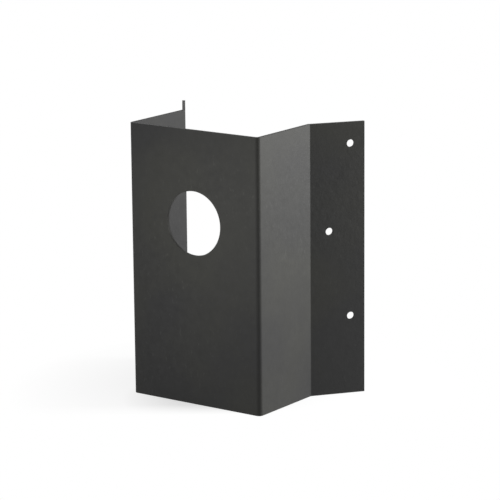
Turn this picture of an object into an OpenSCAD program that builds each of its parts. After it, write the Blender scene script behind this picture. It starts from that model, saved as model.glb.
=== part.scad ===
// Corner mount bracket: one steel sheet, cut flat and folded four times.
// A face plate with a cable hole stands in front, two sides run back from it,
// and a drilled flange flares out from each side to meet a wall.
// Origin: middle of the bracket's outline at its bottom edge. +Z is up and -Y is the front.

/* [Sheet] */
// Thickness of the sheet
sheet_t = 2; // [1:0.25:4]
// Inside radius of every fold
bend_r = 1; // [0.5:0.25:5]
// Height of the bracket, along its folds
bracket_h = 180; // [120:1:300]

/* [Face plate] */
// Width of the face plate over the outsides of the sides
face_w = 102; // [70:1:180]
// Diameter of the cable hole
cable_d = 42; // [10:0.5:60]
// Top edge to the centre of the cable hole
cable_drop = 60.5; // [35:0.5:80]

/* [Sides] */
// Depth of each side, from the front of the face plate to the corner of the back fold
side_l = 57; // [20:0.5:120]

/* [Flanges] */
// Width of each flange, from the corner of the back fold to its outer edge
flange_w = 37; // [32:0.5:80]
// Angle between each flange and the plane of the face plate
flange_angle = 52.8; // [10:0.1:75]

/* [Screw holes] */
// Diameter of each screw hole
screw_d = 5; // [3:0.1:8]
// Outer edge of the flange to the centres of the top and bottom holes
screw_edge = 9.5; // [6:0.5:12]
// How much nearer to the fold the middle hole is
screw_step = 14.5; // [0:0.5:16]
// Top edge to the centre of the top hole
screw_top = 14; // [8:0.5:40]
// Bottom edge to the centre of the bottom hole
screw_bottom = 52; // [8:0.5:60]

/* [Hidden] */
$fn = 96;
coat_colour = [0.2, 0.2, 0.2];

// Each fold turns the sheet by an angle: the front fold squarely back behind the face, the back fold out
// to the flange.
front_turn = 90;
back_turn = flange_angle - front_turn;

// What a fold takes off the run on each side of it, measured along the face that the sizes are given on.
front_setback = (bend_r + sheet_t) * tan(front_turn / 2);
back_setback = bend_r * tan(abs(back_turn) / 2);

// The flat runs that are left between the folds.
face_flat = face_w - 2 * front_setback;
side_flat = side_l - front_setback - back_setback;
flange_flat = flange_w - back_setback;

// The rearmost corners are at the backs of the flanges' outer edges.
bracket_depth = side_l + flange_w * sin(flange_angle) + sheet_t * cos(flange_angle);

// A cutter stands this far out of the sheet on both sides.
cut_clear = 1;

cable_z = bracket_h - cable_drop;
screw_top_z = bracket_h - screw_top;
screw_middle_z = (screw_top_z + screw_bottom) / 2;
// Along the flange's flat run, from its fold
outer_screw_x = flange_flat - screw_edge;
inner_screw_x = outer_screw_x - screw_step;
// Each hole as [distance along the flange, height]
screw_holes = [
    [outer_screw_x, screw_top_z],
    [inner_screw_x, screw_middle_z],
    [outer_screw_x, screw_bottom],
];

// Height of a fold's centre line above the run's outer face: above it for a turn to the left, below it to the right.
function fold_centre(turn) = turn > 0 ? sheet_t + bend_r : -bend_r;

// The profile is drawn along +X with the sheet's outer face on y = 0.
// One fold in section: the part of a ring that lies past the run before it and short of the run after it.
module fold(turn) {
    reach = 2 * (bend_r + sheet_t);
    translate([0, fold_centre(turn)])
        intersection() {
            difference() {
                circle(r = bend_r + sheet_t);
                circle(r = bend_r);
            }
            translate([0, -reach])
                square([reach, 2 * reach]);
            rotate(turn)
                translate([-reach, -reach])
                    square([reach, 2 * reach]);
        }
}

// Places what comes after a fold, which then runs along its own +X.
module past_fold(turn) {
    translate([0, fold_centre(turn)])
        rotate(turn)
            translate([0, -fold_centre(turn)])
                children();
}

module at_front_fold() {
    translate([face_flat / 2, 0])
        children();
}

module at_side() {
    at_front_fold()
        past_fold(front_turn)
            children();
}

module at_back_fold() {
    at_side()
        translate([side_flat, 0])
            children();
}

module at_flange() {
    at_back_fold()
        past_fold(back_turn)
            children();
}

// The right half of the sheet seen from above: half of the face plate, a side and its flange.
module half_profile() {
    square([face_flat / 2, sheet_t]);
    at_front_fold()
        fold(front_turn);
    at_side()
        square([side_flat, sheet_t]);
    at_back_fold()
        fold(back_turn);
    at_flange()
        square([flange_flat, sheet_t]);
}

module both_halves() {
    children();
    mirror([1, 0, 0])
        children();
}

// A round cutter through a run of the sheet, along Y.
module sheet_hole(d) {
    translate([0, -cut_clear, 0])
        rotate([-90, 0, 0])
            cylinder(d = d, h = sheet_t + 2 * cut_clear);
}

module cable_hole() {
    translate([0, 0, cable_z])
        sheet_hole(cable_d);
}

module flange_holes() {
    at_flange()
        for (hole = screw_holes)
            translate([hole[0], 0, hole[1]])
                sheet_hole(screw_d);
}

module bracket() {
    color(coat_colour)
        translate([0, -bracket_depth / 2, 0])
            difference() {
                linear_extrude(bracket_h)
                    both_halves()
                        half_profile();
                cable_hole();
                both_halves()
                    flange_holes();
            }
}

bracket();
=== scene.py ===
# Corner mount bracket: one steel sheet, drilled, folded and powder coated, on a pale studio floor.
# Everything is in metres, in the CAD frame: +Z is up and -Y is the front.
import math
import bpy
from mathutils import Matrix, Vector


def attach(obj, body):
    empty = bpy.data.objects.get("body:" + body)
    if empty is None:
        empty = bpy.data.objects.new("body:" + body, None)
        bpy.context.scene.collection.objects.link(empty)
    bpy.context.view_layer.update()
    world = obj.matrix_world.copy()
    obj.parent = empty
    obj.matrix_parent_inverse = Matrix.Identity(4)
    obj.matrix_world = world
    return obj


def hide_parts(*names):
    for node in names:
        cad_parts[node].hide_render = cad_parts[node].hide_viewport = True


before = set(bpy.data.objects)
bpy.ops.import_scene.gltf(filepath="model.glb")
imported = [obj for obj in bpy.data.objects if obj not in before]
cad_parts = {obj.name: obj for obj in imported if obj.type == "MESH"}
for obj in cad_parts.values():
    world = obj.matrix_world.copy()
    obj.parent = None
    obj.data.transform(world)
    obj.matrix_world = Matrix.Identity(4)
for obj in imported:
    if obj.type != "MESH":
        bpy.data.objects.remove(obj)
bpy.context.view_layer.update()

MM = 0.001

# The sheet and its four folds
SHEET = 2 * MM
INSIDE_RADIUS = 1 * MM
HEIGHT = 180 * MM
FACE_WIDTH = 102 * MM
SIDE_LENGTH = 57 * MM
FLANGE_WIDTH = 37 * MM
FLANGE_ANGLE = math.radians(52.8)

# The holes
CABLE_HOLE = 42 * MM
CABLE_DROP = 60.5 * MM
SCREW_HOLE = 5 * MM
SCREW_EDGE = 9.5 * MM
SCREW_STEP = 14.5 * MM
SCREW_TOP = 14 * MM
SCREW_BOTTOM = 52 * MM

# The powder coat rounds every cut edge a little. A cut edge is any corner sharper than this angle.
COAT_ROUND = 0.3 * MM
COAT_ROUND_STEPS = 3
EDGE_ANGLE = math.radians(40)
FOLD_STEPS = 14
CABLE_HOLE_SIDES = 120
SCREW_HOLE_SIDES = 40

# Each fold turns the sheet: the front fold squarely back behind the face plate, and the back fold out
# to the flange.
FRONT_TURN = math.pi / 2
BACK_TURN = FLANGE_ANGLE - FRONT_TURN
FRONT_SETBACK = (INSIDE_RADIUS + SHEET) * math.tan(FRONT_TURN / 2)
BACK_SETBACK = INSIDE_RADIUS * math.tan(abs(BACK_TURN) / 2)
FACE_RUN = FACE_WIDTH - 2 * FRONT_SETBACK
SIDE_RUN = SIDE_LENGTH - FRONT_SETBACK - BACK_SETBACK
FLANGE_RUN = FLANGE_WIDTH - BACK_SETBACK
# The length of sheet that a fold takes up, along the middle of its thickness
FRONT_ARC = (INSIDE_RADIUS + SHEET / 2) * FRONT_TURN
BACK_ARC = (INSIDE_RADIUS + SHEET / 2) * abs(BACK_TURN)
DEPTH = SIDE_LENGTH + FLANGE_WIDTH * math.sin(FLANGE_ANGLE) + SHEET * math.cos(FLANGE_ANGLE)

# Where the side and the two folds start on the flat blank, measured from its middle
FRONT_LINE = FACE_RUN / 2
SIDE_START = FRONT_LINE + FRONT_ARC
BACK_LINE = SIDE_START + SIDE_RUN

# The camera, at the photograph's place
CAMERA_AIM = Vector((14.813, -3.149, 96.412)) * MM
CAMERA_AWAY = 1.70124
CAMERA_TURN = math.radians(35.82)
CAMERA_RISE = math.radians(12.855)
CAMERA_ROLL = math.radians(-0.538)
CAMERA_LENS = 189.2
CAMERA_SENSOR = 36


def make_camera():
    data = bpy.data.cameras.new("studio_camera")
    data.lens = CAMERA_LENS
    data.sensor_width = CAMERA_SENSOR
    data.clip_start = 0.05
    data.clip_end = 50
    camera = bpy.data.objects.new("studio_camera", data)
    bpy.context.scene.collection.objects.link(camera)
    back = Vector((math.sin(CAMERA_TURN) * math.cos(CAMERA_RISE),
                   -math.cos(CAMERA_TURN) * math.cos(CAMERA_RISE),
                   math.sin(CAMERA_RISE)))
    right = Vector((math.cos(CAMERA_TURN), math.sin(CAMERA_TURN), 0))
    up = back.cross(right)
    rolled_right = math.cos(CAMERA_ROLL) * right + math.sin(CAMERA_ROLL) * up
    rolled_up = math.cos(CAMERA_ROLL) * up - math.sin(CAMERA_ROLL) * right
    place = Matrix((rolled_right, rolled_up, back)).transposed().to_4x4()
    place.translation = CAMERA_AIM + CAMERA_AWAY * back
    camera.matrix_world = place
    bpy.context.scene.camera = camera


# Node trees are written as expressions: a Wire is one output socket, and maths on it adds Math nodes.
class Wire:
    def __init__(self, graph, socket):
        self.graph = graph
        self.socket = socket

    def maths(self, operation, *others):
        return self.graph.node("ShaderNodeMath", {"operation": operation}, [self, *others])

    def __add__(self, other):
        return self.maths("ADD", other)

    def __sub__(self, other):
        return self.maths("SUBTRACT", other)

    def __mul__(self, other):
        return self.maths("MULTIPLY", other)

    def __truediv__(self, other):
        return self.maths("DIVIDE", other)

    def __radd__(self, other):
        return self.graph.number(other).maths("ADD", self)

    def __rsub__(self, other):
        return self.graph.number(other).maths("SUBTRACT", self)

    def __rmul__(self, other):
        return self.graph.number(other).maths("MULTIPLY", self)

    def clamped(self, low, high):
        return self.maths("MAXIMUM", low).maths("MINIMUM", high)


class Graph:
    def __init__(self, tree):
        self.tree = tree
        tree.nodes.clear()

    # A plain number as a Wire
    def number(self, value):
        return self.node("ShaderNodeMath", {"operation": "ADD"}, [value, 0])

    # Inputs are given by name or by place. A list under one name joins several wires in one socket.
    def node(self, kind, settings, inputs, output=0):
        made = self.tree.nodes.new(kind)
        for name, value in settings.items():
            setattr(made, name, value)
        pairs = inputs.items() if isinstance(inputs, dict) else enumerate(inputs)
        for key, value in pairs:
            for item in value if isinstance(value, list) else [value]:
                if isinstance(item, Wire):
                    self.tree.links.new(item.socket, made.inputs[key])
                else:
                    made.inputs[key].default_value = item
        return Wire(self, made.outputs[output]) if len(made.outputs) else made

    def out(self, wire, name, kind="ShaderNodeOutputMaterial"):
        self.node(kind, {}, {name: wire})


# Geometry trees
def geometry_graph(name, sizes):
    tree = bpy.data.node_groups.new(name, "GeometryNodeTree")
    graph = Graph(tree)
    tree.interface.new_socket("Geometry", in_out="INPUT", socket_type="NodeSocketGeometry")
    for size in sizes:
        kind = "NodeSocketInt" if isinstance(sizes[size], int) else "NodeSocketFloat"
        tree.interface.new_socket(size, in_out="INPUT", socket_type=kind)
    tree.interface.new_socket("Geometry", in_out="OUTPUT", socket_type="NodeSocketGeometry")
    entry = tree.nodes.new("NodeGroupInput")
    return graph, {socket.name: Wire(graph, socket) for socket in entry.outputs if socket.name}


def add_tree(target, tree, sizes):
    modifier = target.modifiers.new(tree.name, "NODES")
    modifier.node_group = tree
    for item in tree.interface.items_tree:
        if item.in_out == "INPUT" and item.name in sizes:
            modifier[item.identifier] = sizes[item.name]


# The flat blank lies with its outer face up on z = 0, X along the sheet and Y up the bracket's height.
def cut_blank_tree(sizes):
    graph, size = geometry_graph("Cut blank", sizes)

    def moved(shape, x, y):
        place = graph.node("ShaderNodeCombineXYZ", {}, [x, y, 0.0])
        return graph.node("GeometryNodeTransform", {}, {"Geometry": shape, "Translation": place})

    def hole(x, y, diameter, sides):
        circle = graph.node("GeometryNodeCurvePrimitiveCircle", {},
                            {"Resolution": sides, "Radius": diameter * 0.5})
        return moved(circle, x, y)

    def drilled_run(start, run, holes):
        outline = graph.node("GeometryNodeCurvePrimitiveQuadrilateral", {},
                             {"Width": run, "Height": size["Height"]})
        curves = [moved(outline, start + run * 0.5, size["Height"] * 0.5), *holes]
        joined = graph.node("GeometryNodeJoinGeometry", {}, {"Geometry": curves})
        return graph.node("GeometryNodeFillCurve", {"mode": "NGONS"}, {"Curve": joined})

    def plain_run(start, run, steps):
        grid = graph.node("GeometryNodeMeshGrid", {},
                          {"Size X": run, "Size Y": size["Height"], "Vertices X": steps, "Vertices Y": 2})
        return moved(grid, start + run * 0.5, size["Height"] * 0.5)

    front_line = size["Face run"] * 0.5
    side_start = front_line + size["Front arc"]
    back_line = side_start + size["Side run"]
    flange_start = back_line + size["Back arc"]
    outer_screws = flange_start + size["Flange run"] - size["Screw edge"]
    top = size["Height"] - size["Screw top"]
    bottom = size["Screw bottom"]
    screws = [
        hole(x, y, size["Screw hole"], size["Screw hole sides"])
        for x, y in ((outer_screws, top), (outer_screws, bottom),
                     (outer_screws - size["Screw step"], (top + bottom) * 0.5))
    ]
    cable = hole(0.0, size["Height"] - size["Cable drop"], size["Cable hole"], size["Cable hole sides"])
    fold_points = size["Fold steps"] + 1
    half = graph.node("GeometryNodeJoinGeometry", {}, {"Geometry": [
        plain_run(front_line, size["Front arc"], fold_points),
        plain_run(side_start, size["Side run"], 2),
        plain_run(back_line, size["Back arc"], fold_points),
        drilled_run(flange_start, size["Flange run"], screws),
    ]})
    other_half = graph.node("GeometryNodeFlipFaces", {}, [
        graph.node("GeometryNodeTransform", {}, {"Geometry": half, "Scale": (-1.0, 1.0, 1.0)})])
    face = drilled_run(front_line * -1, size["Face run"], [cable])
    outer = graph.node("GeometryNodeMergeByDistance", {}, {
        "Geometry": graph.node("GeometryNodeJoinGeometry", {}, {"Geometry": [half, other_half, face]}),
        "Distance": size["Join distance"]})
    # The sheet's thickness goes down from its outer face.
    straight_down = graph.node("ShaderNodeCombineXYZ", {}, [0.0, 0.0, -1.0])
    down = graph.node("GeometryNodeExtrudeMesh", {"mode": "FACES"}, {
        "Mesh": outer, "Offset": straight_down, "Offset Scale": size["Sheet"], "Individual": False})
    under = graph.node("GeometryNodeFlipFaces", {}, [down])
    slab = graph.node("GeometryNodeMergeByDistance", {}, {
        "Geometry": graph.node("GeometryNodeJoinGeometry", {}, {"Geometry": [outer, under]}),
        "Distance": size["Join distance"]})
    graph.out(graph.node("GeometryNodeRealizeInstances", {}, [slab]), "Geometry", "NodeGroupOutput")
    return graph.tree


# Folds the blank: what lies past a line turns about the fold's centre line, and the rest follows
# straight on.
def fold_tree(sizes, material):
    graph, size = geometry_graph("Fold sheet", sizes)
    position = graph.node("GeometryNodeInputPosition", {}, [])
    split = graph.node("ShaderNodeSeparateXYZ", {}, [position]).socket.node
    blank_x, blank_y, blank_z = (Wire(graph, socket) for socket in split.outputs)
    along = blank_x.maths("ABSOLUTE")
    side = blank_x.maths("SIGN")
    into = blank_z * -1

    def fold(x, y, line, arc, turn, centre):
        share = ((x - line) / arc).clamped(0.0, 1.0)
        straight = (x - line).maths("MINIMUM", 0.0) + (x - line - arc).maths("MAXIMUM", 0.0)
        angle = share * turn
        cosine = angle.maths("COSINE")
        sine = angle.maths("SINE")
        rise = y - centre
        return (line + straight * cosine - rise * sine,
                centre + straight * sine + rise * cosine,
                share)

    x, y, back_share = fold(along, into, size["Back line"], size["Back arc"],
                            size["Back turn"], size["Inside radius"] * -1)
    x, y, front_share = fold(x, y, size["Front line"], size["Front arc"],
                             size["Front turn"], size["Sheet"] + size["Inside radius"])
    place = graph.node("ShaderNodeCombineXYZ", {}, [x * side, y - size["Depth"] * 0.5, blank_y])
    folded = graph.node("GeometryNodeSetPosition", {}, {"Geometry": size["Geometry"], "Position": place})
    # How far a point lies into either fold, from 0 on the flat runs to 1 in the middle of a fold. The
    # coat's painted shade along the folds follows it.
    into_fold = front_share * (1 - front_share) * 4 + back_share * (1 - back_share) * 4
    stored = graph.node("GeometryNodeStoreNamedAttribute", {"data_type": "FLOAT", "domain": "POINT"},
                        {"Geometry": folded, "Name": "fold", "Value": into_fold})
    smooth = graph.node("GeometryNodeSetShadeSmooth", {}, {"Geometry": stored, "Shade Smooth": True})
    whole = graph.node("GeometryNodeRealizeInstances", {}, [smooth])
    coated = graph.node("GeometryNodeSetMaterial", {}, {"Geometry": whole, "Material": material})
    graph.out(coated, "Geometry", "NodeGroupOutput")
    return graph.tree


def make_bracket(material):
    sheet = bpy.data.objects.new("folded_sheet_rough", bpy.data.meshes.new("blank"))
    bpy.context.scene.collection.objects.link(sheet)
    blank_sizes = {
        "Sheet": SHEET, "Height": HEIGHT, "Face run": FACE_RUN, "Side run": SIDE_RUN,
        "Flange run": FLANGE_RUN, "Front arc": FRONT_ARC, "Back arc": BACK_ARC,
        "Cable hole": CABLE_HOLE, "Cable drop": CABLE_DROP, "Screw hole": SCREW_HOLE,
        "Screw edge": SCREW_EDGE, "Screw step": SCREW_STEP, "Screw top": SCREW_TOP,
        "Screw bottom": SCREW_BOTTOM, "Join distance": 0.01 * MM, "Fold steps": FOLD_STEPS,
        "Cable hole sides": CABLE_HOLE_SIDES, "Screw hole sides": SCREW_HOLE_SIDES,
    }
    add_tree(sheet, cut_blank_tree(blank_sizes), blank_sizes)
    edges = sheet.modifiers.new("Coat edges", "BEVEL")
    edges.width = COAT_ROUND
    edges.segments = COAT_ROUND_STEPS
    edges.limit_method = "ANGLE"
    edges.angle_limit = EDGE_ANGLE
    fold_sizes = {
        "Sheet": SHEET, "Inside radius": INSIDE_RADIUS, "Depth": DEPTH,
        "Front line": FRONT_LINE, "Front arc": FRONT_ARC, "Front turn": FRONT_TURN,
        "Back line": BACK_LINE, "Back arc": BACK_ARC, "Back turn": BACK_TURN,
    }
    add_tree(sheet, fold_tree(fold_sizes, material), fold_sizes)
    flats = sheet.modifiers.new("Flat faces lead", "WEIGHTED_NORMAL")
    flats.weight = 100
    evaluated = sheet.evaluated_get(bpy.context.evaluated_depsgraph_get())
    mesh = bpy.data.meshes.new_from_object(evaluated, preserve_all_data_layers=True,
                                           depsgraph=bpy.context.evaluated_depsgraph_get())
    bpy.data.objects.remove(sheet)
    mesh.name = "folded_sheet"
    mesh.materials.clear()
    mesh.materials.append(material)
    piece = bpy.data.objects.new("folded_sheet", mesh)
    bpy.context.scene.collection.objects.link(piece)
    return piece


# Materials
CHARCOAL = (0.0465, 0.0465, 0.0462, 1)
# A warmer, lighter charcoal. Its warmth is the coat's own; its lightness, where the clouds put it on the
# middle of the face plate, is painted sheen.
WARM_SHEEN_CHARCOAL = (0.0565, 0.0565, 0.051, 1)
WHITE = (1, 1, 1, 1)
MATT_WHITE = (0.9, 0.9, 0.9, 1)
DIM_GREY = (0.03, 0.03, 0.03, 1)

# How fine each pattern in the coat is, in waves per metre
GRAIN_SCALE = 1300.0
GLINT_SCALE = 560.0
PEEL_SCALE = 420.0
DENT_SCALE = 220.0
BLOTCH_SCALE = 150.0
CLOUD_SCALE = 12.0
# Where in the noise each set of wide clouds is read, which decides where the clouds lie
WARM_SHEEN_CLOUDS_AT = (0.51, 2.24, 2.69)
UNEVEN_CLOUDS_AT = (0.64, 0.05, 1.62)
# The painted glints' slant, and how long they are drawn out
GLINT_TURN = (0.9, 0.7, 0.4)
GLINT_STRETCH = (1.0, 1.0, 0.45)

COAT_RELIEF = 0.17 * MM
# How strongly the painted shade darkens the coat's colour along the folds
FOLD_PAINTED_SHADE = 0.3


def shader_graph(name):
    material = bpy.data.materials.new(name)
    material.use_nodes = True
    return material, Graph(material.node_tree)


def powder_coat():
    material, graph = shader_graph("charcoal powder coat")
    place = graph.node("ShaderNodeTexCoord", {}, [], "Object")

    def mapped(changes):
        return graph.node("ShaderNodeMapping", {}, {"Vector": place, **changes})

    def noise(scale, detail, vector=place):
        return graph.node("ShaderNodeTexNoise", {}, {"Vector": vector, "Scale": scale, "Detail": detail})

    # What a pattern rises above a level, made steeper and kept between two limits
    def risen(pattern, level, slope, low=0.0):
        return ((pattern - level) * slope).clamped(low, 1.0)

    # Grains of powder, the orange peel they melt into, shallow dents, and blotches a few millimetres wide
    grain = noise(GRAIN_SCALE, 2.0)
    peel = noise(PEEL_SCALE, 2.0)
    dent = noise(DENT_SCALE, 1.0)
    blotch = noise(BLOTCH_SCALE, 3.0)
    # Wide clouds: where the coat is warmer and lighter, and where it went on less evenly. The warmth is
    # the coat's own; the lighter cloud on the middle of the face plate is painted sheen.
    warmth_and_sheen = risen(noise(CLOUD_SCALE, 2.0, mapped({"Location": WARM_SHEEN_CLOUDS_AT})), 0.4, 5)
    uneven = risen(noise(CLOUD_SCALE, 1.0, mapped({"Location": UNEVEN_CLOUDS_AT})), 0.4, 5, low=0.35)
    # Painted glints: short slanting flecks, lighter in the coat's colour, where the coat would catch the
    # light
    slanted = mapped({"Rotation": GLINT_TURN, "Scale": GLINT_STRETCH})
    glint = risen(noise(GLINT_SCALE, 1.0, slanted), 0.64, 9)
    tone = graph.node("ShaderNodeMix", {"data_type": "RGBA"},
                      {"Factor": warmth_and_sheen, "A": CHARCOAL, "B": WARM_SHEEN_CHARCOAL}, "Result")
    # Painted shade: the coat's colour is darkened where the sheet is folded, deepening the dark line along
    # the fold.
    fold = graph.node("ShaderNodeAttribute", {"attribute_name": "fold"}, [], "Fac")
    # Painted light and shade: the glints lighten the coat's colour, and the dents lighten and darken it as
    # their relief would under the lamps, more where the coat went on unevenly.
    painted_glints_and_dent_shade = (glint * 0.35 + dent * 0.4 - 0.2) * uneven
    shade = (0.77 + grain * 0.16 + blotch * 0.3 + painted_glints_and_dent_shade) * (1 - fold * FOLD_PAINTED_SHADE)
    lit = graph.node("ShaderNodeVectorMath", {"operation": "SCALE"}, {"Vector": tone, "Scale": shade})
    height = grain * 0.3 + (peel + dent) * uneven
    bump = graph.node("ShaderNodeBump", {}, {"Strength": 0.5, "Distance": COAT_RELIEF, "Height": height})
    roughness = 0.56 + grain * 0.12
    shader = graph.node("ShaderNodeBsdfPrincipled", {}, {
        "Base Color": lit, "Roughness": roughness, "Normal": bump, "IOR": 1.5, "Specular IOR Level": 0.27})
    graph.out(shader, "Surface")
    return material


# The shadow on the floor is a pool at the bracket's front foot and a fainter one all round it. Both end
# some way ahead of the bracket, measured along a turn from the front towards the right.
FOOT = (0, -20 * MM, 0)
FOOT_START = 30 * MM
FOOT_END = 76 * MM
FOOT_SHARE = 0.85
ROUND_START = 40 * MM
ROUND_END = 150 * MM
ROUND_SHARE = 0.37
AHEAD_TURN = math.radians(36)
AHEAD_START = 36 * MM
AHEAD_END = 59 * MM

FLOOR_HALF = 4.0
FLOOR_DROP = 0.2 * MM
# What the lamps leave a matt floor short of white
FLOOR_LIFT = 0.46
SOFT_LIGHT = 0.06


# 1 where the camera sees the floor or the world, also in a reflection or through something, and 0 where
# they only light the bracket. They show white in the first case and stay dim in the second.
def seen_directly(graph):
    path = graph.node("ShaderNodeLightPath", {}, []).socket.node
    camera, glossy, through = (Wire(graph, path.outputs[name])
                               for name in ("Is Camera Ray", "Is Glossy Ray", "Is Transmission Ray"))
    return camera.maths("MAXIMUM", glossy).maths("MAXIMUM", through)


def make_floor():
    material, graph = shader_graph("pale studio floor")
    white = graph.node("ShaderNodeEmission", {}, {"Color": WHITE, "Strength": 1.0})
    matt = graph.node("ShaderNodeBsdfDiffuse", {}, {"Color": MATT_WHITE})
    lift = graph.node("ShaderNodeEmission", {}, {"Color": WHITE, "Strength": FLOOR_LIFT})
    lifted = graph.node("ShaderNodeAddShader", {}, [matt, lift])
    dim = graph.node("ShaderNodeBsdfDiffuse", {}, {"Color": DIM_GREY})
    place = graph.node("ShaderNodeTexCoord", {}, [], "Object")

    def measured(operation, vector):
        return graph.node("ShaderNodeVectorMath", {"operation": operation}, [place, vector], "Value")

    def faded(distance, start, end):
        return ((end - distance) / (end - start)).clamped(0.0, 1.0)

    # The floor takes the bracket's shadow near by, and fades to plain white further out.
    at_foot = faded(measured("DISTANCE", FOOT), FOOT_START, FOOT_END) * FOOT_SHARE
    all_round = faded(measured("DISTANCE", (0, 0, 0)), ROUND_START, ROUND_END) * ROUND_SHARE
    forward = (math.sin(AHEAD_TURN), -math.cos(AHEAD_TURN), 0)
    behind_end = faded(measured("DOT_PRODUCT", forward), AHEAD_START, AHEAD_END)
    share = at_foot.maths("MAXIMUM", all_round) * behind_end
    pale = graph.node("ShaderNodeMixShader", {}, [share, white, lifted])
    surface = graph.node("ShaderNodeMixShader", {}, [seen_directly(graph), dim, pale])
    graph.out(surface, "Surface")
    corners = [(x * FLOOR_HALF, y * FLOOR_HALF, 0) for x, y in ((-1, -1), (1, -1), (1, 1), (-1, 1))]
    mesh = bpy.data.meshes.new("floor")
    mesh.from_pydata(corners, [], [(0, 1, 2, 3)])
    mesh.materials.append(material)
    floor = bpy.data.objects.new("floor", mesh)
    floor.location.z = -FLOOR_DROP
    bpy.context.scene.collection.objects.link(floor)


def make_world():
    world = bpy.data.worlds.new("studio")
    world.use_nodes = True
    bpy.context.scene.world = world
    graph = Graph(world.node_tree)
    shown = graph.node("ShaderNodeBackground", {}, {"Color": WHITE, "Strength": 1.0})
    soft = graph.node("ShaderNodeBackground", {}, {"Color": WHITE, "Strength": SOFT_LIGHT})
    surface = graph.node("ShaderNodeMixShader", {}, [seen_directly(graph), soft, shown])
    graph.out(surface, "Surface", "ShaderNodeOutputWorld")


LIGHT_AIM = Vector((0, 0, HEIGHT / 2))


# A softbox stands at a turn from the bracket's right (+X towards +Y) and a rise above its middle.
def softbox(name, turn, rise, away, size, power):
    turn = math.radians(turn)
    rise = math.radians(rise)
    data = bpy.data.lights.new(name, "AREA")
    data.shape = "SQUARE"
    data.size = size
    data.energy = power
    light = bpy.data.objects.new(name, data)
    out = Vector((math.cos(turn) * math.cos(rise), math.sin(turn) * math.cos(rise), math.sin(rise)))
    light.location = LIGHT_AIM + away * out
    light.rotation_mode = "QUATERNION"
    light.rotation_quaternion = out.to_track_quat("Z", "Y")
    light.visible_camera = False
    bpy.context.scene.collection.objects.link(light)


bpy.context.scene.view_settings.view_transform = "Standard"
make_camera()
bracket = make_bracket(powder_coat())
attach(bracket, "root")
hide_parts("bracket")
make_floor()
make_world()
softbox("side key", turn=39, rise=12, away=0.6, size=0.15, power=4.2)
softbox("front fill", turn=272, rise=12, away=0.22, size=0.1, power=0.16)
